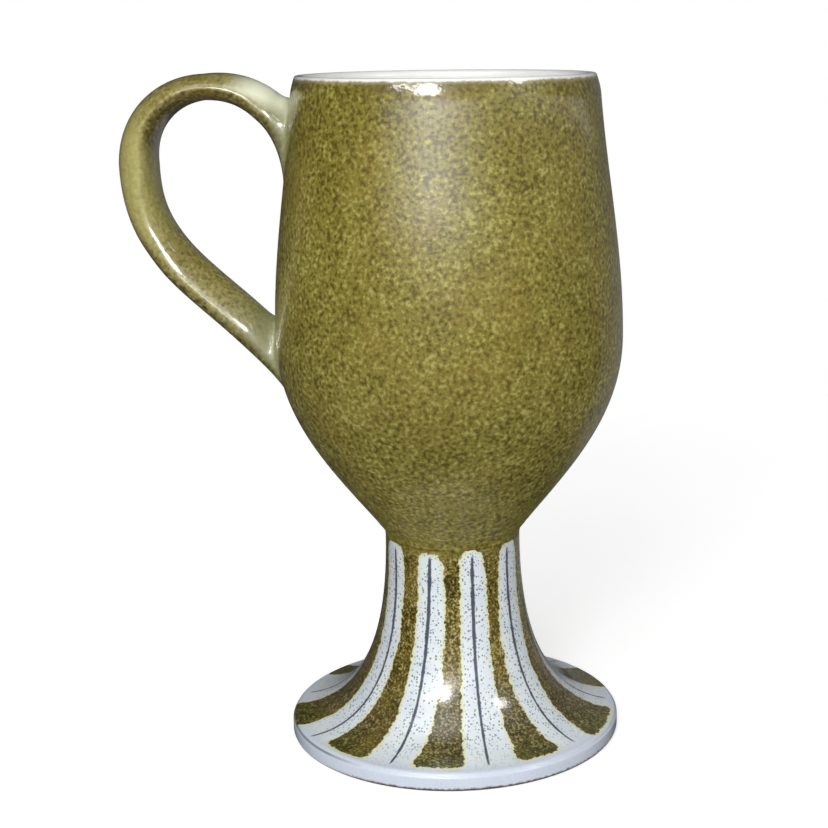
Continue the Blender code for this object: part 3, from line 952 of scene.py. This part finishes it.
soft_lamp("key_lamp", -14, 29, 0.33, 0.23, 4.0)
soft_lamp("wing_lamp", -33, 31, 0.24, 0.05, 0.7)
soft_lamp("side_lamp", 60, 35, 0.24, 0.15, 1.6)
soft_lamp("high_lamp", -28, 62, 0.90, 0.60, 2.4)
soft_lamp("fill_lamp", -2, 13, 0.50, 0.30, 2.2, mirrored=False)
soft_lamp("back_lamp", 172, 20, 0.60, 0.50, 2.4, mirrored=False)
ridge_lamp = soft_lamp("ridge_lamp", 13, 18, 0.30, 0.26, 3.9)
ridge_lamp.visible_diffuse = False
ridge_lamp.light_linking.receiver_collection = bpy.data.collections.new("lit_by_ridge_lamp")
ridge_lamp.light_linking.receiver_collection.objects.link(handle)

# %% [markdown]
# ## Cards
#
# A photographer shapes what a shiny thing reflects with cards: grey ones round the sides and back keep its
# edges dark, a paler one in front lays a sheen on the side that faces it, and two on the floor keep the
# underside calm. They are bowls and bands spun round the mug, and only its reflections see them.

# %% Cards
CARD_RADIUS, CARD_ROWS = 1.4, 12


def card(name, first, last, low, high, level):
    """A curved card of an even brightness: its azimuths and elevations in degrees."""
    bm = bmesh.new()
    rises = [low + (high - low) * row / CARD_ROWS for row in range(CARD_ROWS + 1)]
    rows = [bm.verts.new(AIM + CARD_RADIUS * direction(first, rise)) for rise in rises]
    edges = [bm.edges.new(pair) for pair in zip(rows, rows[1:])]
    bmesh.ops.spin(bm, geom=rows + edges, cent=AIM, axis=UP, angle=math.radians(last - first), steps=48)
    show_in_reflections(finish_mesh(bm, name), level)


def show_in_reflections(item, level, fade=None):
    """Gives a card its brightness and leaves it to reflections; one that fades by an attribute is sheer."""
    node, shader = new_finish(item, item.name + "_grey")
    tree = shader.id_data
    tree.nodes.remove(shader)
    if fade:
        share = node("Attribute", out="Fac", attribute_name=fade)
        level = node("Math MULTIPLY", [share, level])
    shine = node("Emission", {"Strength": level})
    if fade:
        shine = node("AddShader", [shine, node("BsdfTransparent")])
    tree.links.new(shine, tree.nodes["Material Output"].inputs["Surface"])
    item.visible_camera = item.visible_diffuse = item.visible_shadow = item.visible_transmission = False


card("left_card", 180, 340, -4, 90, 0.03)
card("right_card", 94, 180, -4, 90, 0.15)
card("front_card", -20, 40, 1, 22, 0.40)
card("flank_card", 40, 94, 1, 22, 0.12)
card("low_card", -20, 94, -4, 1, 0.12)
card("canopy_card", -20, 94, 22, 90, 0.22)
bm = bmesh.new()
above_floor = Matrix.Translation(AXIS + 0.0002 * UP)
bmesh.ops.create_circle(bm, cap_ends=True, segments=64, radius=1.45, matrix=above_floor)
show_in_reflections(finish_mesh(bm, "floor_card"), 0.04)
bm = bmesh.new()
ends = [bm.verts.new(AXIS + r * direction(112, 0) + 0.0004 * UP) for r in (0.12, 1.35)]
edge = bm.edges.new(ends)
bmesh.ops.spin(bm, geom=ends + [edge], cent=AXIS, axis=UP, angle=math.radians(68), steps=24)
show_in_reflections(finish_mesh(bm, "far_floor_card"), 0.22)

# %% [markdown]
# ## Veil
#
# A pale sheet stood close by on the right, and the upper wall mirrors it as a grey-green veil with a crisp edge
# below the lip. Because it is close, points lower on the wall look past under it, which a far card couldn't do.
# It is a strip of joined edges round the mug, each given by azimuth, heights and strength. It falls towards the
# back.

# %% Veil card
VEIL_RADIUS = 0.13
VEIL = [(15, 0.1600, 0.1850, 0), (34, 0.1593, 0.1850, 0.6), (54, 0.1577, 0.1850, 1), (75, 0.1552, 0.1680, 1),
        (85, 0.1538, 0.1609, 1), (93, 0.1516, 0.1574, 1), (101, 0.1489, 0.1550, 1), (109, 0.1455, 0.1513, 0.8),
        (113, 0.1430, 0.1473, 0.5)]
bm = bmesh.new()
fade_layer = bm.verts.layers.float.new("fade")
rungs = []
for azimuth, low, high, strength in VEIL:
    ends = [bm.verts.new(AXIS + VEIL_RADIUS * direction(azimuth, 0) + z * UP) for z in (low, high)]
    for vert in ends:
        vert[fade_layer] = strength
    rungs.append(bm.edges.new(ends))
for pair in zip(rungs, rungs[1:]):
    bmesh.ops.bridge_loops(bm, edges=pair)
show_in_reflections(finish_mesh(bm, "veil_card"), 0.90, "fade")

# %% [markdown]
# ## Soft reflector
#
# The pale bloom on the bowl's front comes from a small reflector close to the camera, which also feeds the
# handle's bright line. Up close, its reflection sits at another height on each piece, which a far card can't
# give. Its brightness fades from the middle to the rim, and a grid of vertices carries that fade.

# %% Reflector
REFLECTOR_AWAY, HALF_WIDTH, HALF_HEIGHT = 0.41, 0.42, 0.056
away = direction(-10, 15.5)
stand = Matrix.Translation(AIM + REFLECTOR_AWAY * away) @ facing_mug(away)
bm = bmesh.new()
bmesh.ops.create_grid(bm, x_segments=32, y_segments=32, size=1.0)
fade_layer = bm.verts.layers.float.new("fade")
for vert in bm.verts:
    vert[fade_layer] = max(0, 1 - vert.co.length) ** 2
bmesh.ops.transform(bm, matrix=stand @ Matrix.Diagonal((HALF_WIDTH, HALF_HEIGHT, 1.0, 1.0)), verts=bm.verts)
show_in_reflections(finish_mesh(bm, "reflector_card"), 8.0, "fade")

# %% [markdown]
# ## Camera
#
# The camera stands a little above the lip and looks down at the mug from 38 cm, with a long lens. Its place and
# lens come from the ellipses of the lip and foot. The lens is shifted only for the framing.

# %% Camera
DISTANCE, EYE_Z, FOCAL_PX, CENTRE_PX, FRAME_PX = 0.3774, 0.1657, 1656.6, 480.6, 828.0
YAW, PITCH, ROLL = math.radians(1.06), math.radians(-13.25), math.radians(-0.64)
eye = AXIS + DISTANCE * direction(0, 0) + EYE_Z * UP
look = Vector((math.sin(YAW) * math.cos(PITCH), math.cos(YAW) * math.cos(PITCH), math.sin(PITCH)))
right = look.cross(UP).normalized()
up = right.cross(look)
right, up = math.cos(ROLL) * right + math.sin(ROLL) * up, -math.sin(ROLL) * right + math.cos(ROLL) * up
turned = Matrix.Rotation(math.radians(CAMERA_TURN), 3, "Z") @ Matrix((right, up, -look)).transposed()
camera = bpy.data.cameras.new("camera")
camera.sensor_width = 36.0
camera.lens = FOCAL_PX * camera.sensor_width / FRAME_PX
camera.shift_x = (FRAME_PX / 2 - CENTRE_PX) / FRAME_PX
camera_item = bpy.data.objects.new("camera", camera)
camera_item.matrix_world = Matrix.Translation(eye) @ turned.to_4x4()
bpy.context.scene.collection.objects.link(camera_item)
bpy.context.scene.camera = camera_item
bpy.context.scene.view_settings.view_transform = "Standard"
print(f"lens {camera.lens:.1f} mm, shift {camera.shift_x:.3f}")
